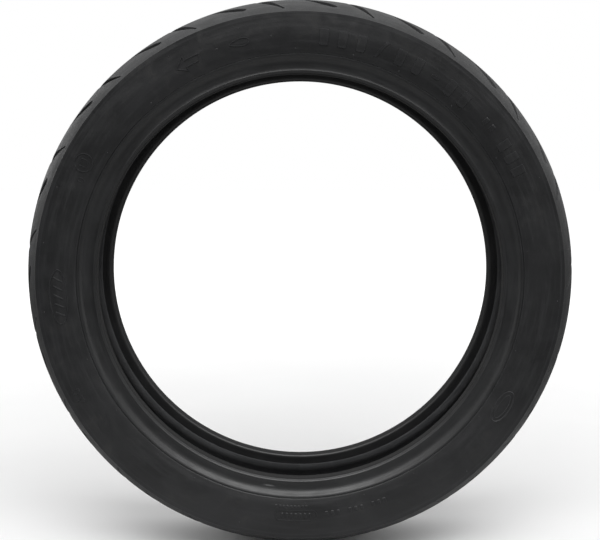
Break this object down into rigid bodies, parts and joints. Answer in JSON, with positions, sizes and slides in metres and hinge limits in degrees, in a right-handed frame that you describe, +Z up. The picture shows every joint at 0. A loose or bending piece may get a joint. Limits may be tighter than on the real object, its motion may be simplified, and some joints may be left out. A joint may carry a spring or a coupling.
{
  "type": "motorcycle tyre",
  "caption": "Bare motorcycle tyre with a slanted directional tread, built as nested tread, breaker, carcass, liner, sidewall, rim-strip, apex and steel-wire bead layers.",
  "frame": {"origin": "centre of the wheel: on the axle line, midway between the two sidewalls", "axes": "+Y along the axle, +Z up; the right-hand sidewall, which carries the raised marks, faces -Y"},
  "size_m": [0.561, 0.1238, 0.561],
  "materials": {
    "tread_rubber": "matte",
    "sidewall_rubber": "satin",
    "rim_strip_rubber": "satin",
    "inner_rubber": "satin",
    "liner_rubber": "matte",
    "ply_cord": "matte",
    "breaker_cord": "matte",
    "chafer_cloth": "matte",
    "bead_wire": "bronze-coated"
  },
  "bodies": {
    "root": {"tread_cap": "tread_rubber", "tread_base": "inner_rubber", "breaker_upper": "breaker_cord", "breaker_lower": "breaker_cord", "carcass_ply_outer": "ply_cord", "carcass_ply_inner": "ply_cord", "inner_liner": "liner_rubber", "right_sidewall": "sidewall_rubber", "left_sidewall": "sidewall_rubber", "right_shoulder_wedge": "inner_rubber", "left_shoulder_wedge": "inner_rubber", "right_rim_strip": "rim_strip_rubber", "left_rim_strip": "rim_strip_rubber", "right_chafer": "chafer_cloth", "left_chafer": "chafer_cloth", "right_apex": "inner_rubber", "left_apex": "inner_rubber", "right_bead_wrap": "chafer_cloth", "left_bead_wrap": "chafer_cloth", "right_bead_rubber": "inner_rubber", "left_bead_rubber": "inner_rubber", "right_bead_wires": "bead_wire", "left_bead_wires": "bead_wire"}
  },
  "joints": []
}
